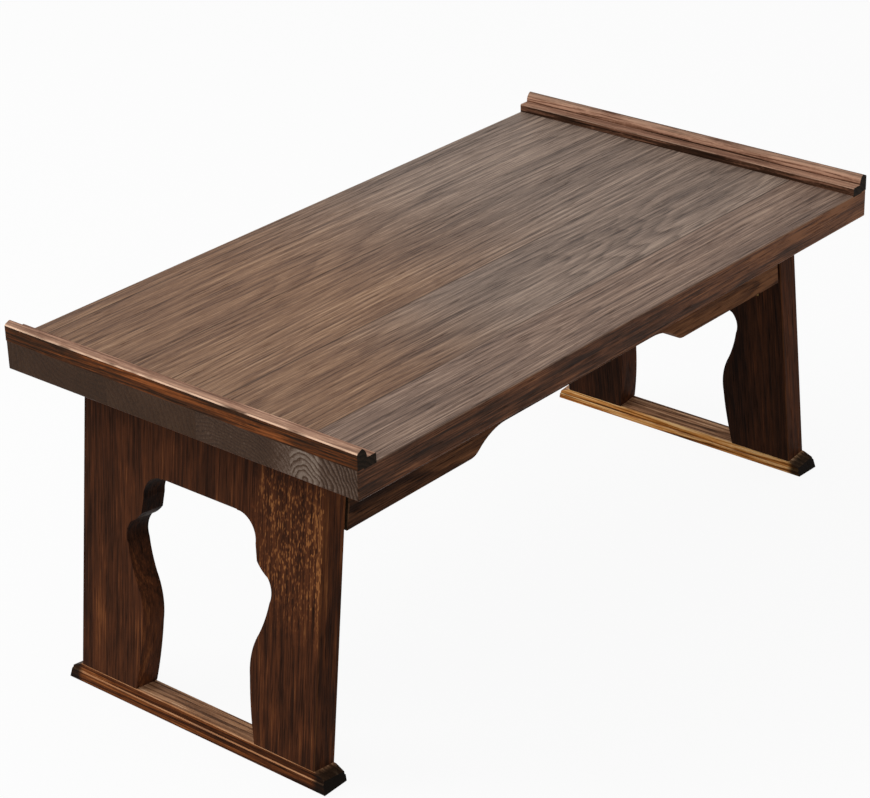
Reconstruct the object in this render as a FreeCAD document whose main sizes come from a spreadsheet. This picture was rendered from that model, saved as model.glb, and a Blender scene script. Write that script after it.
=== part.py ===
import FreeCAD, Part
import math
import os

import Sketcher

# A low folding desk of scorched wood. X runs along the top, -Y is the front, Z is up.
# The origin is on the floor, under the middle of the top.

# Driving dimensions, in millimetres and degrees
SIZES = {
    # Top: planks glued edge to edge
    "top_length": 600,
    "top_width": 331,
    "top_thickness": 22,
    "top_height": 259,
    # Moulded strip along each end of the top
    "strip_width": 18,
    "strip_height": 14.2,
    "strip_brow": 12,
    "strip_lip": 4.8,
    "strip_cove": 4.4,
    "strip_step": 6.5,
    "strip_tongue": 12,
    "strip_seat": 1,
    # Leg panels: splayed boards with a shaped window
    "splay_angle": 7,
    "leg_inset": 25,
    "leg_thickness": 21,
    "leg_width": 230,
    "head_depth": 57,
    "stile_waist": 44.5,
    # Foot rail under each leg panel
    "foot_overhang": 11.5,
    "foot_height": 12.2,
    "foot_band": 6.4,
    "foot_lip": 1,
    "foot_toe": 4,
    "foot_bevel": 2.5,
    # Aprons along the front and back, and the cross rails that carry the hinges
    "apron_depth": 56,
    "apron_waist": 41,
    "apron_thickness": 18,
    "apron_gap": 3,
    "wave_outer": 256,
    "wave_inner": 176,
    "rail_thickness": 24,
    "rail_gap": 0.5,
    "fold_clearance": 0.4,
    # Butt hinges
    "hinge_margin": 3.5,
    "hinge_width": 32,
    "leaf_reach": 16,
    "leaf_thickness": 1.2,
    "barrel_radius": 2.4,
    "barrel_clearance": 0.3,
    "knuckle_gap": 0.2,
    "pin_radius": 1.2,
    "pin_clearance": 0.05,
    "pin_head_radius": 1.8,
    "pin_head_height": 0.7,
    "leaf_hole_reach": 9.5,
    "leaf_hole_spacing": 18,
    # Screws and dowels
    "leaf_screw_length": 13,
    "leaf_screw_radius": 1.3,
    "leaf_screw_head_radius": 2.5,
    "frame_screw_length": 40,
    "frame_screw_radius": 1.9,
    "frame_screw_head_radius": 3.8,
    "frame_screw_head_height": 2.4,
    "frame_screw_bite": 12,
    "frame_screw_margin": 20,
    "counterbore_radius": 4.6,
    "dowel_radius": 4,
    "dowel_length": 26,
    "dowel_sink": 12,
    "dowel_inset": 9,
    "foot_dowel_radius": 3.5,
    "foot_dowel_length": 28,
    "foot_dowel_sink": 8,
    "hole_clearance": 0.05,
    "drill_end": 0.6,
    "slot_width": 0.6,
    "slot_depth": 0.7,
    # Eased arrises, and how far cutting tools run past the wood
    "arris": 0.7,
    "overrun": 30,
}

# Where the seams of the top lie, across its width from the front edge
SEAM_SHARES = (0.178, 0.437, 0.696, 0.955)
# Window of a leg panel from its top corner down: half width, depth and bow of the edge that follows
WINDOW_SHARES = (
    (0.555, 0.000, -0.40),
    (0.766, 0.114, 0.00),
    (0.790, 0.186, 0.12),
    (0.938, 0.240, -0.28),
    (0.971, 0.347, -0.06),
    (0.851, 0.497, 0.16),
    (0.746, 0.705, 0.04),
    (0.829, 1.000, 0.00),
)
# Head board across the top of the window
HEAD_SHARE = 0.511
# Where the wave under an apron turns from round to hollow, on its way up to the waist
WAVE_TURN_SHARE = 0.22
STRIP_COVE_SHARE = 0.30
# Dowels: heights in a rail, and places across the foot of a stile
RAIL_DOWEL_SHARES = (0.3, 0.7)
FOOT_DOWEL_SHARES = (0.30, 0.72)
SCREW_TIP_SHARE = 0.3
KNUCKLES = 3
RIGHT_ANGLE = 90

V = FreeCAD.Vector
ABOUT_X = V(1, 0, 0)
ABOUT_Y = V(0, 1, 0)
ALONG_Y = (ABOUT_X, -RIGHT_ANGLE)
SIDES = {"left": -1, "right": 1}
ENDS = {"front": -1, "rear": 1}

doc = FreeCAD.newDocument("lap_desk")
sheet = doc.addObject("Spreadsheet::Sheet", "Sizes")
for row, (alias, number) in enumerate(SIZES.items(), start=1):
    sheet.set(f"A{row}", alias)
    sheet.set(f"B{row}", str(number))
    sheet.setAlias(f"B{row}", alias)
doc.recompute()
nodes = {}


class Size:
    """A size of the sheet, or a sum of such sizes, as a number and as the formula for it."""

    def __init__(self, value, formula):
        self.value = value
        self.formula = formula

    def __add__(self, other):
        other = as_size(other)
        return Size(self.value + other.value, f"({self.formula} + {other.formula})")

    def __sub__(self, other):
        other = as_size(other)
        return Size(self.value - other.value, f"({self.formula} - {other.formula})")

    def __mul__(self, other):
        other = as_size(other)
        return Size(self.value * other.value, f"({self.formula} * {other.formula})")

    def __truediv__(self, other):
        other = as_size(other)
        return Size(self.value / other.value, f"({self.formula} / {other.formula})")

    def __neg__(self):
        return self * -1

    __radd__ = __add__
    __rmul__ = __mul__


def as_size(number):
    if isinstance(number, Size):
        return number
    return Size(number, f"({number})")


def size(alias):
    return Size(float(sheet.get(alias)), f"Sizes.{alias}")


def bind(item, prop, value):
    """Tie a property of a feature to the sheet."""
    if isinstance(value, Size):
        item.setExpression(prop, value.formula)


def place(item, at=(0, 0, 0), turn=None):
    """Put a feature at a place of the sheet's sizes, turned about an axis."""
    if turn:
        axis, angle = turn
        item.Placement = FreeCAD.Placement(V(), FreeCAD.Rotation(axis, as_size(angle).value))
        bind(item, "Placement.Rotation.Angle", angle)
    for letter, value in zip("xyz", at):
        bind(item, f"Placement.Base.{letter}", value)


def new_body(label, at=(0, 0, 0), turn=None):
    body = doc.addObject("PartDesign::Body", label)
    body.Label = label
    place(body, at, turn)
    nodes[label] = body
    return body


def feature(body, kind, sizes, at=(0, 0, 0), turn=None):
    """Add a primitive to a body, or cut one from it."""
    item = body.newObject(f"PartDesign::{kind}", f"{body.Label}_{kind}")
    place(item, at, turn)
    for prop, value in sizes.items():
        bind(item, prop, value)
    return item


def cut_hole(body, radius, depth, at, turn=None):
    return feature(body, "SubtractiveCylinder", {"Radius": radius, "Height": depth}, at, turn)


def outline(sketch, path):
    """Draw a closed outline through points (x, y, bow); a bow bends the edge that follows to its left."""
    joints = []
    for here, there in zip(path, path[1:] + path[:1]):
        start = V(as_size(here[0]).value, as_size(here[1]).value, 0)
        end = V(as_size(there[0]).value, as_size(there[1]).value, 0)
        bow = here[2]
        if bow:
            half = (end - start) / 2
            middle = start + half + V(-half.y, half.x, 0) * bow
            edge = sketch.addGeometry(Part.Arc(start, middle, end))
        else:
            edge = sketch.addGeometry(Part.LineSegment(start, end))
        forward = (sketch.getPoint(edge, 1) - start).Length < (sketch.getPoint(edge, 2) - start).Length
        joints.append((edge, 1 if forward else 2, 2 if forward else 1))
    for (edge, first, last), (after, after_first, _), here, there in zip(
        joints, joints[1:] + joints[:1], path, path[1:] + path[:1]
    ):
        sketch.addConstraint(Sketcher.Constraint("Coincident", edge, last, after, after_first))
        for kind, value in (("DistanceX", here[0]), ("DistanceY", here[1])):
            value = as_size(value)
            rule = sketch.addConstraint(Sketcher.Constraint(kind, -1, 1, edge, first, value.value))
            sketch.setExpression(f"Constraints[{rule}]", value.formula)
        bow = abs(here[2])
        if bow:
            run = as_size(there[0]) - here[0]
            rise = as_size(there[1]) - here[1]
            chord = Size(math.hypot(run.value, rise.value), f"sqrt({run.formula}^2 + {rise.formula}^2)")
            radius = chord * ((1 + bow * bow) / (4 * bow))
            rule = sketch.addConstraint(Sketcher.Constraint("Radius", edge, radius.value))
            sketch.setExpression(f"Constraints[{rule}]", radius.formula)


def new_sketch(body, role):
    sketch = body.newObject("Sketcher::SketchObject", f"{body.Label}_outline")
    plane = next(item for item in body.Origin.OriginFeatures if item.Role == role)
    sketch.AttachmentSupport = [(plane, "")]
    sketch.MapMode = "FlatFace"
    return sketch


def pad(body, role, path, length):
    """Extrude an outline evenly to both sides of an origin plane of the body."""
    sketch = new_sketch(body, role)
    outline(sketch, path)
    item = body.newObject("PartDesign::Pad", f"{body.Label}_pad")
    item.Profile = sketch
    item.SideType = "Symmetric"
    bind(item, "Length", length)
    return item


def ease(body, wanted):
    """Take the arris off the edges that a test on their middle and direction picks."""
    doc.recompute()
    base = body.Tip
    names = []
    for number, edge in enumerate(base.Shape.Edges, start=1):
        middle = edge.valueAt((edge.FirstParameter + edge.LastParameter) / 2)
        way = edge.Vertexes[-1].Point - edge.Vertexes[0].Point
        if wanted(middle, way):
            names.append(f"Edge{number}")
    item = body.newObject("PartDesign::Chamfer", f"{body.Label}_arris")
    item.Base = (base, names)
    bind(item, "Size", size("arris"))
    return item


def close(one, other):
    """True where two places are the same, within a fraction of an arris."""
    return abs(one - as_size(other).value) < size("arris").value / 10


# Places that several pieces share
half_length = size("top_length") / 2
half_width = size("top_width") / 2
under_top = size("top_height") - size("top_thickness")
splay = size("splay_angle")
lean_sin = Size(math.sin(math.radians(splay.value)), f"sin({splay.formula} * 1 deg)")
lean_cos = Size(math.cos(math.radians(splay.value)), f"cos({splay.formula} * 1 deg)")
lean_tan = lean_sin / lean_cos
half_leg = size("leg_thickness") / 2
half_panel = size("leg_width") / 2
half_window = half_panel - size("stile_waist")
half_head = half_window * HEAD_SHARE
# Middle of a leg panel, where it meets the underside of the top, out from the middle of the desk
leg_out = half_length - size("leg_inset") - half_leg / lean_cos
# Inner face of a leg panel at the same level
inner_out = leg_out - half_leg / lean_cos
apron_out = inner_out - size("apron_gap") / lean_cos
rail_out = inner_out - size("rail_gap") / lean_cos
rail_back = rail_out + size("apron_depth") * lean_tan - size("rail_thickness")
apron_bottom = under_top - size("apron_depth")
rail_length = size("leg_width") - size("apron_thickness") * 2
# Hinge axis: leaves lie against the rail's underside and the panel's inner face
seat = size("barrel_radius") + size("barrel_clearance")
axis_height = apron_bottom - seat
axis_drop = (size("apron_depth") + seat - (half_leg + seat) * lean_sin) / lean_cos
axis_out = leg_out - lean_cos * (half_leg + seat) + lean_sin * axis_drop
half_spacing = rail_length / 2 - size("hinge_margin") - size("hinge_width") / 2
hole_step = size("leaf_hole_spacing") / 2
screw_step = half_spacing - size("hinge_width") / 2 - size("frame_screw_margin")
screw_out = rail_back + size("dowel_inset")
drill = size("leaf_screw_radius") + size("hole_clearance")
dowel_hole = size("dowel_radius") + size("hole_clearance")
foot_dowel_hole = size("foot_dowel_radius") + size("hole_clearance")
# A leg panel's slope length from the top's underside down to the foot rail
slope_length = (under_top - size("foot_height")) / lean_cos
foot_out = leg_out + (under_top - size("foot_height")) * lean_tan
overrun = size("overrun")


def lean_of(side):
    """Angle that splays a leg panel, about +Y."""
    return splay * -side


# Top planks, edge to edge across the width
def top_planks():
    inner_seams = [size("top_width") * share - half_width for share in SEAM_SHARES]
    seams = [-half_width] + inner_seams + [half_width]
    # A shallow groove near both ends, in which the strips' tongues are let in
    groove = {"Length": size("strip_tongue"), "Width": size("top_width") + overrun, "Height": overrun}
    groove_floor = size("top_height") - size("strip_seat")
    groove_edge = half_length - size("strip_width")
    for number, (front, rear) in enumerate(zip(seams, seams[1:]), start=1):
        plank = new_body(f"top_plank_{number}")
        box = {"Length": size("top_length"), "Width": rear - front, "Height": size("top_thickness")}
        feature(plank, "AdditiveBox", box, (-half_length, front, under_top))
        for side in SIDES.values():
            start = groove_edge if side > 0 else -groove_edge - size("strip_tongue")
            feature(plank, "SubtractiveBox", groove, (start, -half_width - overrun / 2, groove_floor))
            for end in ENDS.values():
                at = (screw_out * side, screw_step * end, under_top)
                bite = size("frame_screw_bite") + size("drill_end")
                cut_hole(plank, size("frame_screw_radius") + size("hole_clearance"), bite, at)

        def outer(middle, way):
            on_edge = close(abs(middle.y), half_width)
            at_end = close(abs(middle.x), half_length)
            low = close(middle.z, under_top)
            high = close(middle.z, size("top_height")) and abs(middle.x) < groove_edge.value
            return (on_edge and (low or high or at_end)) or (at_end and low)

        ease(plank, outer)


# Moulded strip on each end: a sloping lip at the outside, a cove, a low step inwards, and a tongue below
def end_strips():
    top = size("top_height")
    for name, side in SIDES.items():
        strip = new_body(f"end_strip_{name}")
        profile = [
            (0, 0, 0),
            (0, size("strip_brow"), 0),
            (size("strip_lip"), size("strip_height"), STRIP_COVE_SHARE),
            (size("strip_lip") + size("strip_cove"), size("strip_step"), 0),
            (size("strip_width"), size("strip_step"), 0),
            (size("strip_width"), -size("strip_seat"), 0),
            (size("strip_width") - size("strip_tongue"), -size("strip_seat"), 0),
            (size("strip_width") - size("strip_tongue"), 0, 0),
        ]
        path = []
        for across, height, bow in profile:
            path.append(((half_length - across) * side, top + height, bow * -side))
        pad(strip, "XZ_Plane", path, size("top_width"))

        def upper(middle, way):
            above = middle.z > top.value + size("arris").value
            cove = half_length - size("strip_lip") - size("strip_cove")
            in_cove = close(middle.z, top + size("strip_step")) and close(abs(middle.x), cove)
            return above and abs(way.y) > size("strip_width").value and not in_cove

        ease(strip, upper)


# Aprons: deep and straight beside the legs, with a wave up to a shallow waist
def aprons():
    deep = apron_bottom
    waist = under_top - size("apron_waist")
    outer = size("wave_outer") / 2
    inner = size("wave_inner") / 2
    turn_x = outer - (outer - inner) * WAVE_TURN_SHARE
    turn_z = deep + (waist - deep) * WAVE_TURN_SHARE
    end_low = apron_out + size("apron_depth") * lean_tan
    # Two arcs that start and end level and run into each other
    bow = math.tan(math.atan2((waist - deep).value, (outer - inner).value) / 2)
    path = [
        (-apron_out, under_top, 0),
        (-end_low, deep, 0),
        (-outer, deep, -bow),
        (-turn_x, turn_z, bow),
        (-inner, waist, 0),
        (inner, waist, bow),
        (turn_x, turn_z, -bow),
        (outer, deep, 0),
        (end_low, deep, 0),
        (apron_out, under_top, 0),
    ]
    centre = half_panel - size("apron_thickness") / 2
    for name, end in ENDS.items():
        apron = new_body(f"apron_{name}", (0, centre * end, 0))
        pad(apron, "XZ_Plane", path, size("apron_thickness"))

        def rim(middle, way):
            on_face = close(abs(middle.y), size("apron_thickness") / 2)
            return on_face and not close(middle.z, under_top)

        ease(apron, rim)
        for side in SIDES.values():
            for share in RAIL_DOWEL_SHARES:
                sunk = size("dowel_sink") + size("drill_end") - size("apron_thickness") / 2
                at = (screw_out * side, sunk, under_top - size("apron_depth") * share)
                depth = size("dowel_sink") + size("drill_end") + overrun
                start = at if end > 0 else (at[0], -at[1], at[2])
                cut_hole(apron, dowel_hole, depth, start, (ABOUT_X, RIGHT_ANGLE * end))


# Cross rails between the aprons, tight behind each leg panel
def hinge_rails():
    for name, side in SIDES.items():
        rail = new_body(f"hinge_rail_{name}")
        path = [
            (rail_out * side, under_top, 0),
            ((rail_out + size("apron_depth") * lean_tan) * side, apron_bottom, 0),
            (rail_back * side, apron_bottom, 0),
            (rail_back * side, under_top, 0),
        ]
        pad(rail, "XZ_Plane", path, rail_length)
        for end in ENDS.values():
            for share in RAIL_DOWEL_SHARES:
                depth = size("dowel_length") - size("dowel_sink") + size("drill_end")
                level = under_top - size("apron_depth") * share
                at = (screw_out * side, (rail_length / 2 - depth) * end, level)
                cut_hole(rail, dowel_hole, depth + overrun, at, (ABOUT_X, -RIGHT_ANGLE * end))
            at = (screw_out * side, screw_step * end, apron_bottom)
            shank_hole = size("frame_screw_radius") + size("hole_clearance")
            cut_hole(rail, shank_hole, size("apron_depth") + overrun, at)
            bore = size("apron_depth") + size("frame_screw_bite") - size("frame_screw_length")
            cut_hole(rail, size("counterbore_radius"), bore, at)
            sink = {
                "Height": size("frame_screw_head_height"),
                "Radius1": size("frame_screw_head_radius") + size("hole_clearance"),
                "Radius2": shank_hole,
            }
            feature(rail, "SubtractiveCone", sink, (at[0], at[1], apron_bottom + bore))
            for step in (-1, 1):
                across = half_spacing * end + hole_step * step
                at = ((axis_out - size("leaf_hole_reach")) * side, across, apron_bottom)
                cut_hole(rail, drill, size("leaf_screw_length") + size("drill_end"), at)


def leaf(label, side, end, moving):
    """One leaf of a hinge, with its share of the knuckles, drawn about the hinge axis."""
    turn = (ABOUT_Y, (splay + RIGHT_ANGLE) * -side) if moving else None
    body = new_body(label, (axis_out * side, half_spacing * end, axis_height), turn)
    width = size("hinge_width")
    reach = size("leaf_reach")
    thick = size("leaf_thickness")
    face = -seat if moving else seat - thick
    inwards = 0 if side < 0 else -reach
    plate = {"Length": reach, "Width": width, "Height": thick}
    feature(body, "AdditiveBox", plate, (inwards, -width / 2, face))
    barrel = {"Radius": size("barrel_radius"), "Height": width}
    feature(body, "AdditiveCylinder", barrel, (0, -width / 2, 0), ALONG_Y)
    gap = size("knuckle_gap") / 2
    knuckle = width / KNUCKLES
    notch = seat + gap
    for number in range(KNUCKLES):
        if (number % 2 == 0) == moving:
            space = {"Length": notch * 2, "Width": knuckle + gap * 2, "Height": notch * 2}
            feature(body, "SubtractiveBox", space, (-notch, knuckle * number - width / 2 - gap, -notch))
    bore = size("pin_radius") + size("pin_clearance")
    cut_hole(body, bore, width + overrun, (0, -(width + overrun) / 2, 0), ALONG_Y)
    wide = size("leaf_screw_head_radius") + size("hole_clearance")
    sink = {"Height": thick}
    sink["Radius1"] = drill if moving else wide
    sink["Radius2"] = wide if moving else drill
    for step in (-1, 1):
        feature(body, "SubtractiveCone", sink, (size("leaf_hole_reach") * -side, hole_step * step, face))
    return body


# Hinges: two at each leg panel
def hinges():
    for name, side in SIDES.items():
        for place_name, end in ENDS.items():
            stem = f"hinge_{name}_{place_name}"
            leaf(f"{stem}_fixed_leaf", side, end, False)
            leaf(f"{stem}_moving_leaf", side, end, True)
            pin = new_body(f"{stem}_pin", (axis_out * side, half_spacing * end, axis_height))
            half = size("hinge_width") / 2
            rod = {"Radius": size("pin_radius"), "Height": size("hinge_width")}
            feature(pin, "AdditiveCylinder", rod, (0, -half, 0), ALONG_Y)
            head = {"Radius": size("pin_head_radius"), "Height": size("pin_head_height")}
            feature(pin, "AdditiveCylinder", head, (0, half, 0), ALONG_Y)
            feature(pin, "AdditiveCylinder", head, (0, -half - size("pin_head_height"), 0), ALONG_Y)


def level_cut(board, side, low, high):
    """Trim a piece of a leg between two heights measured from the top's underside."""
    lean = lean_sin * -side
    reach = overrun + size("leg_width")
    box = {"Length": reach * 2, "Width": reach * 2, "Height": high - low}
    at = (-reach * lean_cos - low * lean, -reach, low * lean_cos - reach * lean)
    feature(board, "SubtractiveBox", box, at, (ABOUT_Y, splay * side))


def leg_board(label, side, path, soft):
    """A board of a leg panel: drawn on the panel's middle plane, splayed, and cut level at the top."""
    body = new_body(label, (leg_out * side, 0, under_top), (ABOUT_Y, lean_of(side)))
    pad(body, "YZ_Plane", path, size("leg_thickness"))

    def rim(middle, way):
        return close(abs(middle.x), half_leg) and soft(middle)

    ease(body, rim)
    level_cut(body, side, -size("fold_clearance"), overrun)
    return body


def stile_path(end):
    """Outline of a stile: straight outside, the window's edge inside."""
    drop = slope_length - size("head_depth")
    window = []
    for wide, down, bow in WINDOW_SHARES:
        window.append((half_window * wide * end, -size("head_depth") - drop * down, bow * -end))
    path = [(half_head * end, overrun / 2, 0), (half_head * end, -size("head_depth"), 0)] + window
    return path + [(half_panel * end, -slope_length, 0), (half_panel * end, overrun / 2, 0)]


# Leg panels: two shaped stiles with a head board between them
def leg_panels():
    for name, side in SIDES.items():
        for place_name, end in ENDS.items():

            def stile_rim(middle):
                return close(abs(middle.y), half_panel)

            stile = leg_board(f"{name}_leg_{place_name}_stile", side, stile_path(end), stile_rim)
            foot_dowel_holes(stile, end)
            for step in (-1, 1):
                across = half_spacing * end + hole_step * step
                at = (half_leg * -side, across, -(axis_drop + size("leaf_hole_reach")))
                depth = size("leaf_screw_length") + size("drill_end")
                cut_hole(stile, drill, depth, at, (ABOUT_Y, RIGHT_ANGLE * side))
        head = [
            (-half_head, overrun / 2, 0),
            (-half_head, -size("head_depth"), 0),
            (half_head, -size("head_depth"), 0),
            (half_head, overrun / 2, 0),
        ]
        leg_board(f"{name}_leg_head", side, head, lambda middle: close(middle.z, -size("head_depth")))


def foot_dowel_places(end):
    """Where dowels stand across the foot of a stile."""
    inner = half_window * WINDOW_SHARES[-1][0]
    return [(inner + (half_panel - inner) * share) * end for share in FOOT_DOWEL_SHARES]


def foot_dowel_holes(stile, end):
    depth = size("foot_dowel_length") - size("foot_dowel_sink") + size("drill_end")
    for across in foot_dowel_places(end):
        cut_hole(stile, foot_dowel_hole, depth + overrun, (0, across, -slope_length - overrun))


# Foot rails: square to the panel and cut level on the floor, a lipped band below, sloping toes at both ends
def foot_rails():
    upper = half_leg
    lower = upper + size("foot_lip")
    half = half_panel + size("foot_overhang")
    crown = -slope_length
    toe = crown - size("foot_toe")
    lip = crown - (size("foot_height") - size("foot_band")) / lean_cos
    deep = crown - size("foot_height") / lean_cos - lower * lean_tan
    path = [
        (-lower, deep, 0),
        (lower, deep, 0),
        (lower, lip, 0),
        (upper, lip, 0),
        (upper, crown, 0),
        (-upper, crown, 0),
        (-upper, lip, 0),
        (-lower, lip, 0),
    ]
    for name, side in SIDES.items():
        foot = new_body(f"{name}_leg_foot_rail", (leg_out * side, 0, under_top), (ABOUT_Y, lean_of(side)))
        pad(foot, "XZ_Plane", path, half * 2)
        toes = new_sketch(foot, "YZ_Plane")
        for end in ENDS.values():
            outline(toes, [(half * end, deep, 0), ((half + overrun) * end, deep, 0),
                           ((half + overrun) * end, crown + overrun, 0),
                           (half_panel * end, crown + overrun, 0),
                           (half_panel * end, crown, 0),
                           ((half - size("foot_bevel")) * end, toe, 0)])
        pocket = foot.newObject("PartDesign::Pocket", f"{foot.Label}_toes")
        pocket.Profile = toes
        pocket.SideType = "Symmetric"
        bind(pocket, "Length", lower * 2 + overrun)

        def rim(middle, way):
            on_lip = close(middle.z, lip) and close(abs(middle.x), lower)
            on_crown = close(middle.z, crown) and close(abs(middle.x), upper)
            return abs(way.y) > half.value and (on_lip or on_crown)

        ease(foot, rim)
        level_cut(foot, side, -under_top - overrun, -under_top)
        for end in ENDS.values():
            for across in foot_dowel_places(end):
                sink = size("foot_dowel_sink") + size("drill_end")
                cut_hole(foot, foot_dowel_hole, sink + overrun, (0, across, crown - sink))


def group(label, shapes):
    """Fasteners of one kind, each a solid of its own."""
    item = doc.addObject("Part::Feature", label)
    item.Label = label
    item.Shape = Part.makeCompound(shapes)
    nodes[label] = item


def screw(length, radius, head_radius, head_height):
    """A countersunk, tapered wood screw along +Z, its head's face at zero, with a straight slot."""
    head = Part.makeCone(head_radius, radius, head_height)
    taper = Part.makeCone(radius, radius * SCREW_TIP_SHARE, length - head_height, V(0, 0, head_height))
    wide = size("slot_width").value
    slot = Part.makeBox(head_radius, wide, size("slot_depth").value, V(-head_radius / 2, -wide / 2, 0))
    return head.fuse(taper).cut(slot).removeSplitter()


def put(shape, at, axis=None, angle=0):
    """A copy of a shape, turned about an axis through zero and moved to a place."""
    copy = shape.copy()
    place_at = V(*[as_size(value).value for value in at])
    copy.Placement = FreeCAD.Placement(place_at, FreeCAD.Rotation(axis or ABOUT_Y, as_size(angle).value))
    return copy


# Screws through the hinge leaves, and through the cross rails into the top
def screws():
    leaf_screw = screw(size("leaf_screw_length").value, size("leaf_screw_radius").value,
                       size("leaf_screw_head_radius").value, size("leaf_thickness").value)
    frame_screw = screw(size("frame_screw_length").value, size("frame_screw_radius").value,
                        size("frame_screw_head_radius").value, size("frame_screw_head_height").value)
    fixed = []
    frame = []
    head_level = under_top + size("frame_screw_bite") - size("frame_screw_length")
    for name, side in SIDES.items():
        moving = []
        leg = FreeCAD.Placement(V((leg_out * side).value, 0, under_top.value),
                                FreeCAD.Rotation(ABOUT_Y, lean_of(side).value))
        for end in ENDS.values():
            frame.append(put(frame_screw, (screw_out * side, screw_step * end, head_level)))
            for step in (-1, 1):
                across = half_spacing * end + hole_step * step
                low = apron_bottom - size("leaf_thickness")
                fixed.append(put(leaf_screw, ((axis_out - size("leaf_hole_reach")) * side, across, low)))
                face = (half_leg + size("leaf_thickness")) * -side
                down = -(axis_drop + size("leaf_hole_reach"))
                loose = put(leaf_screw, (face, across, down), ABOUT_Y, RIGHT_ANGLE * side)
                loose.Placement = leg.multiply(loose.Placement)
                moving.append(loose)
        group(f"{name}_leg_hinge_screws", moving)
    group("rail_hinge_screws", fixed)
    group("rail_fixing_screws", frame)


# Dowels between aprons and cross rails, and between stiles and foot rails
def dowels():
    rod = Part.makeCylinder(size("dowel_radius").value, size("dowel_length").value)
    peg = Part.makeCylinder(size("foot_dowel_radius").value, size("foot_dowel_length").value)
    frame = []
    for name, side in SIDES.items():
        pegs = []
        for end in ENDS.values():
            for share in RAIL_DOWEL_SHARES:
                outer = (rail_length / 2 + size("dowel_sink")) * end
                at = (screw_out * side, outer, under_top - size("apron_depth") * share)
                frame.append(put(rod, at, ABOUT_X, RIGHT_ANGLE * end))
            for across in foot_dowel_places(end):
                sink = size("foot_dowel_sink")
                at = ((foot_out + lean_sin * sink) * side, across, size("foot_height") - lean_cos * sink)
                pegs.append(put(peg, at, ABOUT_Y, lean_of(side)))
        group(f"{name}_leg_foot_dowels", pegs)
    group("apron_dowels", frame)


top_planks()
end_strips()
aprons()
hinge_rails()
hinges()
leg_panels()
foot_rails()
screws()
dowels()
doc.recompute()

# Every piece is checked before any is written
for item in doc.Objects:
    if "Invalid" in item.State or "Error" in item.State:
        raise RuntimeError(f"{item.Label} failed: {item.State}")
for label, item in nodes.items():
    if item.Shape.isNull() or not item.Shape.isValid():
        raise RuntimeError(f"{label} has no valid solid")
os.makedirs("parts", exist_ok=True)
for label, item in nodes.items():
    item.Shape.exportStep(f"parts/{label}.step")
    print(label, len(item.Shape.Solids), round(item.Shape.Volume, 1))
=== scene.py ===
# %% [markdown]
# # A folding lap desk in scorched wood
# The desk is a low table: a plank top with a moulded strip at each end, waved aprons under the front and
# the back, and two splayed leg panels that fold under it. Its boards are already modelled to size, so this
# lesson is about their finish. The imported desk is loaded first.

# %% Load the desk
import math

import bmesh
import bpy
from mathutils import Matrix, Vector


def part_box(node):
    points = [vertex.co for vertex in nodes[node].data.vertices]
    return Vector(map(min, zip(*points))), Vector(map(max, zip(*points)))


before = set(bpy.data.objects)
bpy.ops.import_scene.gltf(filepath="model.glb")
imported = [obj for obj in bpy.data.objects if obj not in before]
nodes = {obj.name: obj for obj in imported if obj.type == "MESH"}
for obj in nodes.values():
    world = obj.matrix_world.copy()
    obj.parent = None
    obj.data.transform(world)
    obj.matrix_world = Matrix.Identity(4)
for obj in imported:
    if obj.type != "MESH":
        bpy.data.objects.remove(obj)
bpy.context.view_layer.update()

# %% [markdown]
# ## The camera
# The desk is seen from its front left corner and a little above, through a long lens that keeps its edges
# nearly parallel. A camera can be aimed with a constraint, but here its three axes are worked out from an
# azimuth, an elevation and a small roll, so the whole view is a lens, three angles, a distance and a point.

# %% Camera
IMAGE_WIDTH = 870
FOCAL_PIXELS = 2668
SENSOR_MM = 36
AZIMUTH, ELEVATION, ROLL = (math.radians(a) for a in (-49.15, 25.92, -1.71))
DISTANCE = 2.023
AIM = Vector((-0.0208, 0.0097, 0.150))

away = math.cos(ELEVATION)
back = Vector((math.sin(AZIMUTH) * away, -math.cos(AZIMUTH) * away, math.sin(ELEVATION)))
level = Vector((0, 0, 1)).cross(back).normalized()
upright = back.cross(level)
right = level * math.cos(ROLL) + upright * math.sin(ROLL)
up = upright * math.cos(ROLL) - level * math.sin(ROLL)

lens = bpy.data.cameras.new("desk_camera")
lens.sensor_width = SENSOR_MM
lens.lens = FOCAL_PIXELS / IMAGE_WIDTH * SENSOR_MM
camera = bpy.data.objects.new("desk_camera", lens)
bpy.context.scene.collection.objects.link(camera)
axes = Matrix((right, up, back)).transposed().to_4x4()
camera.matrix_world = Matrix.Translation(AIM + back * DISTANCE) @ axes
bpy.context.scene.camera = camera
print("camera at", [round(v, 3) for v in camera.matrix_world.translation], "lens", round(lens.lens, 1))

# %% [markdown]
# ## Writing a finish as arithmetic
# A finish is a tree of shader nodes. Wiring each node by hand hides the idea, so one small class wraps an
# output socket: adding or multiplying two of them adds the Math node. Every other kind of node comes from
# its one method, which sets the node's own settings first and then its sockets.


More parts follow.
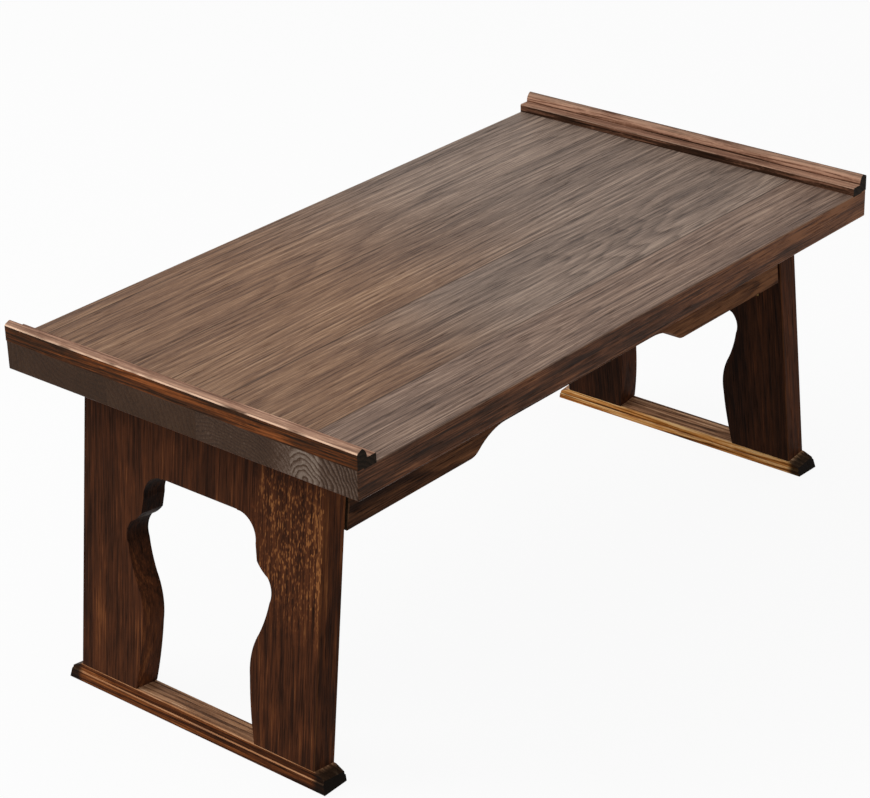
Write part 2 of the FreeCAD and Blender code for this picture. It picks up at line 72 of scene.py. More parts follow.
# %% Wires
class Wire:
    """An output socket in a finish's node tree, on which ordinary arithmetic works."""

    def __init__(self, tree, socket=None):
        self.tree = tree
        self.socket = socket

    def node(self, kind, settings=None, sockets=None, output=0):
        """Adds a node: first its settings, such as a ramp's stops, then its sockets' values or links."""
        made = self.tree.nodes.new("ShaderNode" + kind)
        for name, value in (settings or {}).items():
            if name == "stops":
                for _ in value[2:]:
                    made.color_ramp.elements.new(0.5)
                for stop, (place, tone) in zip(made.color_ramp.elements, value):
                    stop.position = place
                    stop.color = tone
            else:
                setattr(made, name, value)
        for name, value in (sockets or {}).items():
            if isinstance(value, Wire):
                self.tree.links.new(value.socket, made.inputs[name])
            else:
                made.inputs[name].default_value = value
        return Wire(self.tree, made.outputs[output] if len(made.outputs) else None)

    def maths(self, operation, first, second=0.0):
        """Adds a Math node."""
        return self.node("Math", {"operation": operation}, {0: first, 1: second})

    def __add__(self, other):
        return self.maths("ADD", self, other)

    def __sub__(self, other):
        return self.maths("SUBTRACT", self, other)

    def __rsub__(self, other):
        return self.maths("SUBTRACT", other, self)

    def __mul__(self, other):
        return self.maths("MULTIPLY", self, other)

    def __abs__(self):
        return self.maths("ABSOLUTE", self)

    __radd__ = __add__
    __rmul__ = __mul__

    def span(self, low, high):
        """0 below low, 1 above high, and a soft step between; high may lie under low."""
        return self.node("MapRange", {"interpolation_type": "SMOOTHSTEP"},
                         {"Value": self, "From Min": low, "From Max": high})

    def swing(self, amount, mean=0.5):
        """A noise that lies round its mean, as a swing of some amount round 0."""
        return (self - mean) * amount

    def tint(self, under, over):
        """Lays one colour over another where this wire is 1."""
        return self.node("Mix", {"data_type": "RGBA"}, {0: self, 6: under, 7: over}, 2)

    def parts(self):
        """The three parts of a vector."""
        return [self.node("SeparateXYZ", {}, {"Vector": self}, n) for n in range(3)]


def new_finish(owner):
    """An empty node tree of a material or world, as a wire to start from."""
    owner.use_nodes = True
    owner.node_tree.nodes.clear()
    return Wire(owner.node_tree)


def shade(red, green, blue):
    """A colour in a screen's steps of 0 to 255, as the linear light that the shader works in."""
    linear = []
    for step in (red, green, blue):
        part = step / 255
        linear.append(part / 12.92 if part <= 0.04045 else ((part + 0.055) / 1.055) ** 2.4)
    return (*linear, 1.0)


print("finishes are written as arithmetic on", Wire.__name__)

# %% [markdown]
# ## Wood that is cut from a tree
# Flat pictures of grain slide over a board's corners. These boards are instead cut from a made-up tree: the
# colour depends on the place inside the trunk, so rings come out as stripes on a long face, as peaked arches
# where the saw cut across their curve, and as arcs on an end. Long thin noise gives the fibres, shorter
# dashes give the pores, and a slow noise makes one part of the board darker than another.

# %% Grain
SEED_STEPS = (3.17, 7.31, 1.93)
RING_TONES = ((0.0, 0.7), (0.1, 0.0), (0.45, 0.12), (0.9, 1.0))
RING_RIPPLE = 50


def streaks(at, along, across, seed, detail=3.0, rough=0.55):
    """Noise drawn out along the grain; along and across are features to the metre."""
    drift = tuple(seed * step for step in SEED_STEPS)
    stretch = {0: at, 1: (along, across, across), 2: drift}
    spot = at.node("VectorMath", {"operation": "MULTIPLY_ADD"}, stretch)
    return at.node("TexNoise", {}, {"Vector": spot, "Scale": 1.0, "Detail": detail, "Roughness": rough})


def soft_rings(at, pith, look, seed):
    """The soft wood of each year ring round a pith, from 0 to 1; it burns dark and the brush wears it low."""
    along, across, deep = at.parts()
    across = across + streaks(at, 2.1, 9, seed, 1.0).swing(look["wander"]) - pith[0]
    deep = deep + streaks(at, 2.7, 12, seed + 4, 1.0).swing(look["wander"]) - pith[1]
    radius = at.maths("SQRT", across * across + deep * deep) + along * look["taper"]
    ripple = streaks(at, 5, 60, seed + 9, 2.0).swing(look["wander"] * RING_RIPPLE)
    ring = at.maths("FRACT", radius * (1 / look["ring"]) + ripple)
    stops = [(place, (tone, tone, tone, 1)) for place, tone in RING_TONES]
    return ring.node("ValToRGB", {"stops": stops}, {"Fac": ring})


print("each ring has tones at", [place for place, tone in RING_TONES])

# %% [markdown]
# ## A board of that tree
# A finish has to know where a place lies in its board, which picks the grain, and which way the surface
# looks there, because flame and brush reach the faces differently. Both are read from the piece's own
# coordinates, so the pattern stays in the wood when a leg folds. A Mapping node moves them to the middle of
# the board and turns them until the first one runs along the grain. A board's noises are kept with these
# places, each with a seed of its own, so that no two boards are alike.

# %% Boards
X, Y, Z = range(3)
QUARTER_TURN = math.radians(90)
ALONG_X = (0.0, 0.0, 0.0)
ALONG_Y = (0.0, 0.0, QUARTER_TURN)
END_SLOPE = (0.6, 0.9)


class Board:
    """Places in one board, the way its surface looks there, and its grain, all of them wires."""

    def __init__(self, start, look, centre, turn, seed, pith):
        place = start.node("TexCoord", {}, {}, "Object")
        facing = start.node("TexCoord", {}, {}, "Normal")
        at = start.node("Mapping", {"vector_type": "TEXTURE"},
                        {"Vector": place, "Location": centre, "Rotation": turn})
        grain_way = start.node("Mapping", {"vector_type": "TEXTURE"}, {"Vector": facing, "Rotation": turn})
        self.along, self.across, self.deep = at.parts()
        self.toward = facing.parts()
        self.end_cut = abs(grain_way.parts()[0]).span(*END_SLOPE)

        # Rings, fibres and hairs, slow changes of tone, and what fire, wear and growth leave in places.
        self.soft = soft_rings(at, pith, look, seed)
        self.fibre = streaks(at, 8, 420, seed + 2, 4.0, 0.65)
        self.hair = streaks(at, 24, 1200, seed + 3, 2.0)
        self.slow = streaks(at, 2.4, 16, seed + 8, 2.0)
        self.bands = streaks(at, 2.2, 52, seed + 31, 1.0)
        self.mottle = streaks(at, 34, 120, seed + 30, 3.0)
        self.pores = streaks(at, 42, 820, seed + 6, 2.0).span(0.56, 0.68)
        self.char = streaks(at, 9, 70, seed + 12, 3.0).span(0.52, 0.72)
        # This noise breaks up the rubbed arrises, which are worn wood and painted highlight together.
        self.worn = streaks(at, 26, 90, seed + 15, 3.0).span(0.3, 0.55)
        self.dashes = streaks(at, 230, 780, seed + 20, 1.0).span(0.5, 0.68)
        self.clouds = streaks(at, 9, 20, seed + 21, 1.0).span(0.0, 0.5)


print("boards turn by", ALONG_X, "or", ALONG_Y)

# %% [markdown]
# ## How light the wood is
# The real boards are charred, worked with a brush along the grain and oiled. Soft wood burns and stays dark,
# hard wood stands proud and pale, and knots, sap and wear leave marks that only some boards have. Other marks
# are painted light and shade: some faces are made lighter or darker as light would fall on them. All of it
# could be mixed as colours, layer over layer, but then no board keeps to its own tones. Here every layer only
# makes one number larger or smaller: how light the wood is at a place, which starts from a half.

# %% Lightness
MIDDLE_LIGHT = 0.5
SOFT_MEAN = 0.4
RING_SHOW = 1.6
RING_HIDE = 0.1
FLECK_LEAST = 0.06
# Painted shade: how far faces look under the desk, and how much darker they are made.
INWARD_SHADE_SLOPE = (0.5, 0.9)
INWARD_SHADE_LOSS = 0.18
OFF_FRONT_SLOPE = (-0.8, -0.5)
FRONT_SLOPE = (-0.2, -0.6)
SAP_CORE = 0.2
END_FIBRE = 0.4


def change(place, span, gain, base=0.0):
    """How much lighter the wood gets from one place to another, over what it gets everywhere."""
    return place.span(*span) * gain + base


def sap_streak(board, line, middle, slant, half, start, stop, gain):
    """A pale streak along a board, measured on a line across it or into it."""
    place = {"across": board.across, "deep": board.deep}[line]
    drift = board.slow.swing(half) - board.along * slant - middle
    streak = abs(place + drift).span(half, half * SAP_CORE)
    return streak * board.along.span(*start) * board.along.span(*stop) * gain


def long_light(board, look, marks):
    """How light the long faces are, whichever way they look."""
    flecks = (board.dashes + FLECK_LEAST) * board.clouds
    if "flecked" in marks:
        spans = marks["flecked"]
        flecks = flecks * board.along.span(*spans["start"]) * board.along.span(*spans["stop"])
        flecks = flecks * board.across.span(*spans["side"]) * board.toward[Y].span(*OFF_FRONT_SLOPE)
    light = MIDDLE_LIGHT + board.fibre.swing(look["fibre"]) + board.hair.swing(look["hair"])
    ring_share = board.slow * RING_SHOW - RING_HIDE
    light = light + board.slow.swing(look["patch"]) - board.soft.swing(look["soft"], SOFT_MEAN) * ring_share
    light = light + flecks * look["flecks"] - board.pores * look["pores"] - board.char * look["burn"]
    # Painted shade on the faces that look under the desk.
    if "shaded" in marks:
        light = light - (board.toward[X] * marks["shaded"]).span(*INWARD_SHADE_SLOPE) * INWARD_SHADE_LOSS
    return light


def upright_light(board, light, look, marks):
    """How light the upright faces are, which are more mottled and have most of the marks."""
    light = light + board.mottle.swing(look["mottle"]) + board.bands.swing(look["bands"])
    # Lighter along the board: painted light on the front plank and the aprons, painted highlight on the right
    # foot, and a little on the flecked stile.
    if "paler" in marks:
        light = light + change(board.along, **marks["paler"])
    # Painted light on upright faces above a height: the right strip's hollow and the right foot's upper band.
    if "painted_light_by_height" in marks:
        light = light + change(board.deep, **marks["painted_light_by_height"])
    # Painted shade on the left leg's reveal under the head, and painted light on the right one.
    if "reveal" in marks:
        light = light + board.toward[Y].span(*FRONT_SLOPE) * change(board.along, **marks["reveal"])
    if "sap" in marks:
        light = light + sap_streak(board, **marks["sap"])
    return light


def end_light(board, look, marks):
    """How light the end grain is."""
    light = MIDDLE_LIGHT + board.hair.swing(END_FIBRE) + board.fibre.swing(END_FIBRE)
    light = light + board.slow.swing(look["patch"]) - board.soft.swing(look["end_soft"], SOFT_MEAN)
    if "lit" in marks:
        light = light + change(board.across, **marks["lit"])
    return light


# The loss printed here is painted shade on faces that look under the desk.
print("middle of the lightness", MIDDLE_LIGHT, "and loss where charred most", INWARD_SHADE_LOSS)

# %% [markdown]
# ## The scorched and brushed finish
# The colour for each lightness is read from one of three ramps, for faces that look up, for upright faces
# and for end grain, so that a face keeps its own range from char to bare wood. Then come the things that lie
# over the grain: glue lines, arrises that are rubbed back to brown, and charred ends. The rubbed arrises are
# worn wood and painted highlight together, as their pale colour also stands in for the gleam of an eased
# edge. The arrises are found by their slope, as they lie between two other faces. The same grain also drives
# the bump and the roughness, so that pores are sunk and dull where they are dark. A look holds what differs
# from wood to wood: the ramps' colours, the width of a ring in metres, and how much each noise counts.

# %% Scorched wood
STOPS = (0.2, 0.45, 0.64, 0.84)
UPPER_SLOPE = (0.5, 0.8)
SEAM_EDGES = (0.0009, 0.0003)
SEAM_TINT = 0.6
ARRIS_START = (0.42, 0.55)
ARRIS_STOP = (0.93, 0.84)
BURNT_TINT = 0.92
RELIEF = {"fibre": 0.5, "soft": 0.35, "pores": 0.6, "metres": 0.0006}
ROUGHEN = {"fibre": 0.25, "pores": 0.2, "rubbed": -0.1}


def ramp(light, tones):
    """A colour from dark to pale for how light the wood is."""
    stops = [(place, shade(*tone)) for place, tone in zip(STOPS, tones)]
    return light.node("ValToRGB", {"stops": stops}, {"Fac": light})


def face_colour(board, look, marks):
    """The colour of a board's upper, upright and end faces, with its glue lines."""
    light = long_light(board, look, marks)
    sides = ramp(upright_light(board, light, look, marks), look["upright"])
    # capped: painted shade on upper faces above a height, such as the right strip's lip.
    if "capped" in marks:
        light = light + change(board.deep, **marks["capped"])
    upper = ramp(light, look["upward"])
    if "greyed" in marks:
        upper = board.along.span(*marks["greyed"]).tint(upper, ramp(light, look["greyer"]))
    colour = board.toward[Z].span(*UPPER_SLOPE).tint(sides, upper)
    for seam in marks.get("seams", ()):
        line = abs(board.across - seam).span(*SEAM_EDGES)
        colour = (line * SEAM_TINT).tint(colour, shade(*look["upright"][0]))
    return board.end_cut.tint(colour, ramp(end_light(board, look, marks), look["end"]))


def scorched_wood(name, look, centre, turn, seed, pith, arris_axis, **marks):
    """A finish for one board, with marks that only some boards have, at places in it in metres.

    seams: glue lines across it. shaded: the side of X whose faces get painted shade, as if under the desk.
    flecked: where flecks start and stop along it, and where they stop across it. burnt: where its ends are
    charred. greyed: where along it its upper face turns from brown to grey. The others make it lighter or
    darker. paler: its upright faces, along it, as painted light on the front plank and the aprons, painted
    highlight on the right foot, and a little on the flecked stile. painted_light_by_height: its upright faces
    by height, as painted light. reveal: its faces toward the front, as painted shade on the left leg and
    painted light on the right. lit: its end grain, across it. capped: its upper faces, by height, as painted
    shade on the right strip's lip. sap: a streak along it.
    """
    finish = bpy.data.materials.new(name)
    start = new_finish(finish)
    board = Board(start, look, centre, turn, seed, pith)
    colour = face_colour(board, look, marks)

    # Rubbed arrises: worn wood, with painted highlight in their pale colour.
    tilt = abs(board.toward[arris_axis])
    arris = tilt.span(*ARRIS_START) * tilt.span(*ARRIS_STOP) * (1.0 - board.end_cut)
    rubbed = arris * look["arris"] * board.worn
    colour = rubbed.tint(colour, shade(*look["rub"]))
    for end in marks.get("burnt", ()):
        colour = (board.along.span(*end) * BURNT_TINT).tint(colour, shade(*look["end"][0]))

    relief = board.fibre.swing(RELIEF["fibre"]) - board.soft * RELIEF["soft"]
    relief = relief - board.pores * RELIEF["pores"]
    bump = start.node("Bump", {}, {"Strength": look["relief"], "Distance": RELIEF["metres"],
                                   "Height": relief})
    rough = look["rough"] + board.fibre.swing(ROUGHEN["fibre"]) + board.pores * ROUGHEN["pores"]
    rough = rough + rubbed * ROUGHEN["rubbed"]
    shader = start.node("BsdfPrincipled", {}, {"Base Color": colour, "Roughness": rough, "Normal": bump,
                                               "Specular IOR Level": look["gloss"]})
    start.node("OutputMaterial", {}, {"Surface": shader})
    return finish


print("colour ramps read at", STOPS)

# %% [markdown]
# ## Dressing a piece
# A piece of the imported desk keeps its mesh, and only its material slots are filled. Where its finish is put
# could be typed in, but it is read from the piece's own box, so it stays right when a size is changed.


# %% Dressing
def dress(node, finish):
    """Puts a finish on every material slot of a piece of the desk."""
    for slot in nodes[node].material_slots:
        slot.material = finish


def middle_of(names):
    """Centre and half size of the box round some pieces."""
    boxes = [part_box(name) for name in names]
    low = Vector(min(box[0][axis] for box in boxes) for axis in (X, Y, Z))
    high = Vector(max(box[1][axis] for box in boxes) for axis in (X, Y, Z))
    return (low + high) / 2, (high - low) / 2


print("middle of all pieces", [round(v, 3) for v in middle_of(nodes)[0]])

# %% [markdown]
# ## The top
# Five planks are glued edge to edge. One material could serve for all, but then the grain would run on over
# the glue lines. So each plank has a finish of its own, from its own place in the tree, and the rings on the
# ends and the stripes on the faces change from plank to plank. The brush has worn the upper faces to a warm
# brown that turns grey towards the right, with a soft sheen, partly a low gloss and partly painted sheen in
# their lighter colour; the edges keep the red of the scorched wood. The front plank is the greyest, and its
# front edge is painted lighter towards the right, as painted light from that side.

# %% Wood of the top
# The upward tones are lifted a little above the wood's own, as painted sheen in place of more gloss.
TOP = {
    "upward": ((80, 57, 44), (121, 91, 71), (145, 113, 88), (172, 140, 112)),
    "greyer": ((76, 63, 56), (117, 100, 89), (142, 122, 108), (170, 149, 133)),
    "upright": ((36, 22, 14), (70, 44, 29), (104, 66, 45), (138, 92, 62)),
    "end": ((38, 26, 17), (60, 41, 28), (74, 53, 38), (92, 70, 52)),
    "rub": (112, 82, 60), "arris": 0.25, "end_soft": 0.05,
    "ring": 0.0044, "wander": 0.03, "taper": 0.02, "fibre": 1.1, "hair": 0.9, "patch": 0.45, "soft": 0.2,
    "flecks": 0.05, "pores": 0.16, "burn": 0.08, "mottle": 0.5, "bands": 0.1,
    "relief": 0.3, "rough": 0.46, "gloss": 0.06,
}
FRONT_PLANK = {
    **TOP,
    "upward": ((77, 61, 53), (119, 97, 84), (144, 120, 104), (172, 147, 128)),
    "end": ((44, 31, 23), (74, 54, 41), (108, 90, 78), (142, 126, 112)),
    "ring": 0.0034, "wander": 0.05, "end_soft": 0.3,
}
SECOND_PLANK = {**FRONT_PLANK, "upward": TOP["upward"], "end_soft": 0.1}
print("top plank tones", TOP["upward"][0], "to", TOP["upward"][-1])

# %% Planks
PLANK_SEED = 11
turns_grey = {"greyed": (-0.12, 0.14)}
front_marks = {
    "lit": {"span": (0.001, 0.006), "gain": 0.2, "base": -0.05},
    # Painted light: the front edge is made lighter towards the right, as if lit from that side.
    "paler": {"span": (-0.1, 0.3), "gain": 0.24},
}
second_marks = {
    "lit": {"span": (-0.018, -0.043), "gain": 0.22, "base": -0.13},
    "greyed": (-0.2, -0.02),
}
planks = {
    "top_plank_1": (FRONT_PLANK, (0.012, -0.014), front_marks),
    "top_plank_2": (SECOND_PLANK, (0.01, -0.06), second_marks),
    "top_plank_3": (TOP, (0.13, -0.05), turns_grey),
    "top_plank_4": (TOP, (-0.02, 0.07), turns_grey),
    "top_plank_5": (TOP, (0.1, 0.02), turns_grey),
}
for number, (plank, (look, pith, marks)) in enumerate(planks.items()):
    centre, half = middle_of([plank])
    seams = [side * half.y for side in (-1, 1) if 0 <= number + side < len(planks)]
    wood = scorched_wood(plank, look, centre, ALONG_X, PLANK_SEED + number, pith, Z, seams=seams, **marks)
    dress(plank, wood)
print("top of", len(planks), "planks,", [round(2 * v, 3) for v in middle_of(planks)[1]])

# %% [markdown]
# ## End strips
# A moulding runs along each end of the top: an outer lip, a hollow and a low step. Its grain runs along Y,
# across the top's. The brush has rubbed everything that looks up to a pale tan, while the upright faces stay
# dark, with an orange streak where the grain flows past a knot. Such bands could be painted on, but here
# they follow from the slope of the moulding, so they keep to its edges by themselves. On the right strip the
# hollow gets painted light, as if lit from the left, and the lip above it painted shade and less rubbing.

# %% Wood of the strips
STRIP = {
    "upward": ((84, 57, 44), (134, 99, 81), (174, 134, 111), (214, 176, 150)),
    "upright": ((32, 20, 13), (56, 37, 25), (98, 54, 28), (150, 86, 46)),
    "end": ((20, 16, 12), (32, 25, 19), (46, 36, 28), (64, 50, 38)),
    "rub": (240, 200, 170), "arris": 0.95, "end_soft": 0.2,
    "ring": 0.0036, "wander": 0.03, "taper": 0.03, "fibre": 0.8, "hair": 0.5, "patch": 0.5, "soft": 0.2,
    "flecks": 0.06, "pores": 0.14, "burn": 0.12, "mottle": 0.2, "bands": 0.0,
    "relief": 0.3, "rough": 0.46, "gloss": 0.02,
}
# Painted light: a lighter copy of the strip's upright tones for the right strip's hollow, with less rubbing.
STRIP_WITH_PAINTED_LIGHT = {
    **STRIP,
    "upright": ((34, 22, 15), (58, 38, 27), (124, 86, 66), (184, 142, 118)), "arris": 0.2,
}
print("strip tones", STRIP["upward"][0], "to", STRIP["upward"][-1])

# %% End strips
STRIP_SEED = 21
STRIP_PITH = (0.03, -0.05)
orange_streak = {
    "line": "deep", "middle": 0.0005, "slant": 0.025, "half": 0.0045,
    "start": (-0.115, -0.095), "stop": (0.06, 0.02), "gain": 0.2,
}
# Painted light on the right strip's hollow, and painted shade on the lip above it.
rubbed_hollow = {
    "capped": {"span": (0.003, 0.005), "gain": -0.2, "base": 0.03},
    "painted_light_by_height": {"span": (0.0003, 0.002), "gain": 0.32},
}
strips = {
    "end_strip_left": (STRIP, {"sap": orange_streak}),
    "end_strip_right": (STRIP_WITH_PAINTED_LIGHT, rubbed_hollow),
}
for number, (strip, (look, marks)) in enumerate(strips.items()):
    centre = middle_of([strip])[0]
    dress(strip, scorched_wood(strip, look, centre, ALONG_Y, STRIP_SEED + number, STRIP_PITH, Z, **marks))
print("end strips", [round(2 * v, 4) for v in middle_of(["end_strip_left"])[1]])

# %% [markdown]
# ## Foot rails
# Each leg panel stands on a rail with a lipped band and sloping toes. Feet are handled and rubbed most, so
# bright lines run along their arrises over a deep red brown, up to the charred toes; these lines are worn
# wood and painted highlight together. Worn edges are often found by how sharply a mesh bends, which needs
# many vertices; these arrises are eased, and their slope is enough. The right foot gets a lighter copy of
# the finish as painted light, with painted highlight above its lip and towards its rear, and its rear toe
# isn't charred.

# %% Wood of the feet
FOOT = {
    "upward": ((84, 56, 38), (148, 106, 77), (190, 144, 108), (232, 196, 160)),
    "upright": ((32, 17, 9), (78, 41, 21), (124, 70, 35), (180, 118, 70)),
    "end": ((20, 15, 11), (32, 24, 17), (50, 36, 26), (74, 54, 38)),
    "rub": (190, 128, 80), "arris": 0.5, "end_soft": 0.25,
    "ring": 0.004, "wander": 0.016, "taper": 0.02, "fibre": 1.2, "hair": 0.6, "patch": 0.6, "soft": 0.35,
    "flecks": 0.05, "pores": 0.12, "burn": 0.12, "mottle": 0.15, "bands": 0.0,
    "relief": 0.3, "rough": 0.46, "gloss": 0.02,
}
# A lighter copy of the foot's finish, as painted light on the right foot, with brighter painted highlight.
LIT_FOOT = {
    **FOOT,
    "upright": ((70, 38, 15), (168, 102, 44), (226, 158, 86), (250, 208, 146)),
    "rub": (252, 206, 142), "arris": 0.7, "fibre": 1.6, "soft": 0.4,
}
print("foot tones", FOOT["upright"][0], "to", LIT_FOOT["upright"][-1])

# %% Foot rails
FOOT_SEED = 31
FOOT_PITH = (0.05, -0.03)
FRONT_TOE = (-0.112, -0.119)
REAR_TOE = (0.112, 0.119)
# Painted highlight on the right foot towards its rear and above its lip.
rubbed_band = {
    "burnt": [FRONT_TOE],
    "paler": {"span": (-0.05, 0.04), "gain": 0.08},
    "painted_light_by_height": {"span": (-0.002, 0.003), "gain": 0.2},
}
feet = {
    "left_leg_foot_rail": (FOOT, {"burnt": [FRONT_TOE, REAR_TOE]}),
    "right_leg_foot_rail": (LIT_FOOT, rubbed_band),
}
for number, (foot, (look, marks)) in enumerate(feet.items()):
    centre = middle_of([foot])[0]
    dress(foot, scorched_wood(foot, look, centre, ALONG_Y, FOOT_SEED + number, FOOT_PITH, Z, **marks))
print("foot rails", [round(2 * v, 4) for v in middle_of(["left_leg_foot_rail"])[1]])

# %% [markdown]
# ## Aprons and hinge rails
# The aprons hang under the front and the back, and a rail joins them behind each leg panel. They are red
# brown boards with wide rings; the aprons' upright faces are painted lighter to the right, as painted light
# from that side. One look serves for all four, since the rails are hardly seen; only the way of the grain and
# the place in the tree differ.

# %% Wood of the aprons
APRON = {
    "upward": ((30, 18, 12), (58, 37, 25), (84, 54, 36), (112, 74, 48)),
    "upright": ((34, 20, 13), (70, 44, 29), (102, 66, 43), (132, 88, 58)),
    "end": ((26, 19, 14), (46, 35, 26), (66, 52, 40), (90, 72, 56)),
    "rub": (126, 90, 64), "arris": 0.5, "end_soft": 0.3,
    "ring": 0.006, "wander": 0.04, "taper": 0.04, "fibre": 0.8, "hair": 0.6, "patch": 0.6, "soft": 0.3,
    "flecks": 0.05, "pores": 0.16, "burn": 0.1, "mottle": 0.4, "bands": 0.1,
    "relief": 0.3, "rough": 0.5, "gloss": 0.02,
}
print("apron tones", APRON["upright"][0], "to", APRON["upright"][-1])

# %% Aprons and rails
APRON_SEED = 51
APRON_PITH = (0.05, -0.02)
RAIL_SEED = 41
RAIL_PITH = (0.02, -0.06)
# Painted light: the aprons' upright faces are made lighter towards the right, as if lit from that side.
painted_light_to_right = {"span": (-0.1, 0.26), "gain": 0.2}
for number, apron in enumerate(("apron_front", "apron_rear")):
    centre = middle_of([apron])[0]
    seed = APRON_SEED + number
    dress(apron, scorched_wood(apron, APRON, centre, ALONG_X, seed, APRON_PITH, Y, paler=painted_light_to_right))
for number, rail in enumerate(("hinge_rail_left", "hinge_rail_right")):
    centre = middle_of([rail])[0]
    dress(rail, scorched_wood(rail, APRON, centre, ALONG_Y, RAIL_SEED + number, RAIL_PITH, X))
print("aprons", [round(2 * v, 4) for v in middle_of(["apron_front"])[1]])

# %% [markdown]
# ## Leg panels
# A panel is three upright boards: two shaped stiles and a short head between them. Their grain runs up the
# splayed panel, so the pattern is turned with it. The left front stile is full of short golden flecks, which
# are short dashes of noise, kept to a part of the board by where they start and stop. The rear stiles have a
# sap streak low down, and their faces toward the front, which line the windows, get painted shade high up on
# the left leg, under the head, and painted light high up on the right one. The faces that look under the
# desk are darkened as painted shade.

# %% Wood of the legs
LEG = {
    "upward": ((26, 14, 9), (58, 33, 21), (86, 50, 29), (120, 76, 42)),
    "upright": ((24, 13, 8), (56, 32, 20), (84, 47, 28), (132, 80, 45)),
    "end": ((24, 15, 10), (42, 28, 18), (60, 42, 28), (84, 60, 42)),
    "rub": (112, 72, 42), "arris": 0.3, "end_soft": 0.3,
    "ring": 0.0046, "wander": 0.03, "taper": 0.03, "fibre": 0.4, "hair": 0.5, "patch": 0.45, "soft": 0.1,
    "flecks": 0.0, "pores": 0.12, "burn": 0.06, "mottle": 0.4, "bands": 0.3,
    "relief": 0.3, "rough": 0.5, "gloss": 0.02,
}
FLECKED = {**LEG, "upright": ((24, 13, 8), (53, 30, 19), (90, 50, 29), (146, 94, 53)), "flecks": 0.38}
print("leg tones", LEG["upright"][0], "to", FLECKED["upright"][-1])

# %% Leg panels
SPLAY = math.radians(7)
LEG_SEEDS = {"left": 61, "right": 71}
LEG_PITHS = {"front_stile": (0.05, 0.06), "head": (-0.09, 0.05), "rear_stile": (0.12, -0.05)}
golden_flecks = {
    "flecked": {"start": (-0.04, 0.04), "stop": (0.12, 0.07), "side": (0.032, 0.01)},
    "paler": {"span": (-0.07, 0.01), "gain": 0.03},
}
low_streak = {
    "line": "across", "middle": 0.02, "slant": 0.0, "half": 0.014,
    "start": (-0.12, -0.1), "stop": (0.01, -0.03), "gain": 0.09,
}
# Painted shade high on the left leg's reveal, under the head, and painted light high on the right one.
painted_reveal_shade_and_light = {
    "left": {"span": (-0.02, 0.03), "gain": -0.3},
    "right": {"span": (-0.02, 0.03), "gain": 0.2},
}
for side, inwards in (("left", 1), ("right", -1)):
    turn = (0.0, inwards * SPLAY - QUARTER_TURN, 0.0)
    for part, (kind, pith) in enumerate(LEG_PITHS.items()):
        piece = f"{side}_leg_{kind}"
        look = LEG
        marks = {"shaded": inwards}
        if piece == "left_leg_front_stile":
            look = FLECKED
            marks.update(golden_flecks)
        elif kind == "rear_stile":
            marks.update(sap=low_streak, reveal=painted_reveal_shade_and_light[side])
        seed = LEG_SEEDS[side] + part
        dress(piece, scorched_wood(piece, look, middle_of([piece])[0], turn, seed, pith, X, **marks))
print("leg panels splayed", round(math.degrees(SPLAY), 1), "degrees")

# %% [markdown]
# ## Hinges, screws and dowels
# Pressed brass leaves turn on steel pins under the desk, held by slotted screws, and beech dowels join the
# frame and the feet. Handled brass goes brown in the hollows and stays bright where it is rubbed, which a
# cloudy noise gives; drawing the metal leaves fine lines, which a stretched one gives.

# %% Metal
DULL_TINT = 0.8
DULL_ROUGHNESS = 0.2
LINE_ROUGHNESS = 0.15
LINE_RELIEF = 0.15
LINE_DEPTH = 0.0002


def worn_metal(name, bright, dull, rough, seed):
    """Metal that has gone dull in clouds, with fine lines along Y from drawing or rolling."""
    finish = bpy.data.materials.new(name)
    start = new_finish(finish)
    at = start.node("TexCoord", {}, {}, "Object")
    clouds = streaks(at, 160, 160, seed, 4.0, 0.6).span(0.38, 0.66)
    lines = streaks(at, 2400, 60, seed + 3, 2.0)
    colour = (clouds * DULL_TINT).tint(shade(*bright), shade(*dull))
    bump = start.node("Bump", {}, {"Strength": LINE_RELIEF, "Distance": LINE_DEPTH, "Height": lines})
    rough = rough + clouds * DULL_ROUGHNESS + lines.swing(LINE_ROUGHNESS)
    shader = start.node("BsdfPrincipled", {}, {"Base Color": colour, "Metallic": 1.0, "Normal": bump,
                                               "Roughness": rough})
    start.node("OutputMaterial", {}, {"Surface": shader})
    return finish


print("worn metal is dull by", DULL_TINT, "at most")

# %% Hinges, screws and dowels
BEECH = {
    **STRIP,
    "upward": ((150, 112, 76), (190, 154, 112), (208, 174, 132), (224, 196, 156)),
    "upright": ((150, 112, 76), (190, 154, 112), (208, 174, 132), (224, 196, 156)),
    "end": ((132, 98, 66), (172, 136, 98), (192, 158, 118), (210, 180, 142)),
    "arris": 0.0, "burn": 0.02, "gloss": 0.3,
}
DOWEL_SEED = 81
DOWEL_PITH = (0.02, 0.03)
UPWARDS = (0.0, QUARTER_TURN, 0.0)
metals = {
    "_leaf": worn_metal("hinge_brass", bright=(120, 92, 54), dull=(60, 45, 28), rough=0.42, seed=71),
    "_pin": worn_metal("pin_steel", bright=(168, 164, 158), dull=(110, 104, 98), rough=0.28, seed=74),
    "_screws": worn_metal("screw_steel", bright=(160, 154, 144), dull=(104, 94, 82), rough=0.36, seed=77),
}
for node in nodes:
    for ending, metal in metals.items():
        if node.endswith(ending):
            dress(node, metal)
    if node.endswith("_dowels"):
        turn = ALONG_Y if node == "apron_dowels" else UPWARDS
        centre = middle_of([node])[0]
        dress(node, scorched_wood(node, BEECH, centre, turn, DOWEL_SEED, DOWEL_PITH, Z))
print("finishes made:", len(bpy.data.materials))

# %% [markdown]
# ## Floor and light
# The desk stands in a plain white studio. The floor is a matt sheet that catches the soft shadow; the rays
# that are seen, directly or mirrored, also get white of their own, so the ground goes up to white without
# more light on the wood. One large lamp stands for a window behind the desk and lights the top, and a weaker
# one fills the left end.

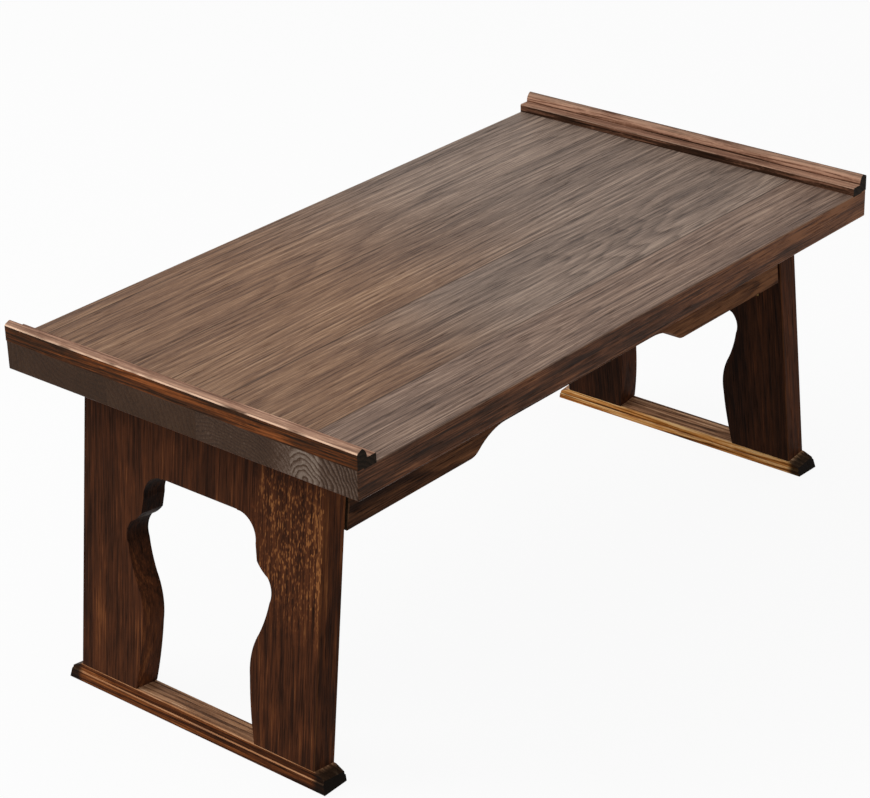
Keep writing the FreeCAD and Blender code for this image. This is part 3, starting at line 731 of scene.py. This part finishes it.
# %% Floor and world
FLOOR_HALF = 6
FLOOR_DROP = 0.0004
FLOOR_GREY = (0.75, 0.75, 0.75, 1)
WHITE = (1, 1, 1, 1)
FLOOR_WHITENESS = 0.93
SKY_LIGHT = 0.5


def seen_rays(start):
    """1 for rays from the camera, and for those that a mirror or glass passes on to it."""
    kinds = ("Is Camera Ray", "Is Glossy Ray", "Is Transmission Ray")
    rays = [start.node("LightPath", {}, {}, kind) for kind in kinds]
    return start.maths("MAXIMUM", rays[0], start.maths("MAXIMUM", rays[1], rays[2]))


sheet = bmesh.new()
bmesh.ops.create_grid(sheet, x_segments=1, y_segments=1, size=FLOOR_HALF)
bmesh.ops.translate(sheet, verts=sheet.verts, vec=(0, 0, -FLOOR_DROP))
floor_mesh = bpy.data.meshes.new("studio_floor")
sheet.to_mesh(floor_mesh)
sheet.free()
floor = bpy.data.objects.new("studio_floor", floor_mesh)
bpy.context.scene.collection.objects.link(floor)

paper = bpy.data.materials.new("studio_floor")
start = new_finish(paper)
matt = start.node("BsdfDiffuse", {}, {"Color": FLOOR_GREY})
white = start.node("Emission", {}, {"Color": WHITE, "Strength": 1.0})
sheet_mix = start.node("MixShader", {}, {0: seen_rays(start) * FLOOR_WHITENESS, 1: matt, 2: white})
start.node("OutputMaterial", {}, {"Surface": sheet_mix})
floor_mesh.materials.append(paper)

world = bpy.data.worlds.new("studio")
bpy.context.scene.world = world
start = new_finish(world)
brightness = seen_rays(start) * (1 - SKY_LIGHT) + SKY_LIGHT
sky = start.node("Background", {}, {"Color": WHITE, "Strength": brightness})
start.node("OutputWorld", {}, {"Surface": sky})
print("floor and world are white where they are seen")


# %% Lamps
def lamp(name, at, aim, size, watts):
    """A square lamp that looks from one place to another."""
    data = bpy.data.lights.new(name, "AREA")
    data.shape = "SQUARE"
    data.size = size
    data.energy = watts
    item = bpy.data.objects.new(name, data)
    bpy.context.scene.collection.objects.link(item)
    turned = (Vector(at) - Vector(aim)).to_track_quat("Z", "Y").to_matrix().to_4x4()
    item.matrix_world = Matrix.Translation(at) @ turned
    return item


lamps = [
    lamp("window_light", at=(-0.9, 1.5, 1.9), aim=(0, 0, 0.2), size=1.6, watts=34),
    lamp("room_fill", at=(-2.0, -0.9, 1.3), aim=(0, 0, 0.15), size=1.6, watts=6),
]
bpy.context.scene.view_settings.view_transform = "Standard"
print("lamps:", [item.name for item in lamps])
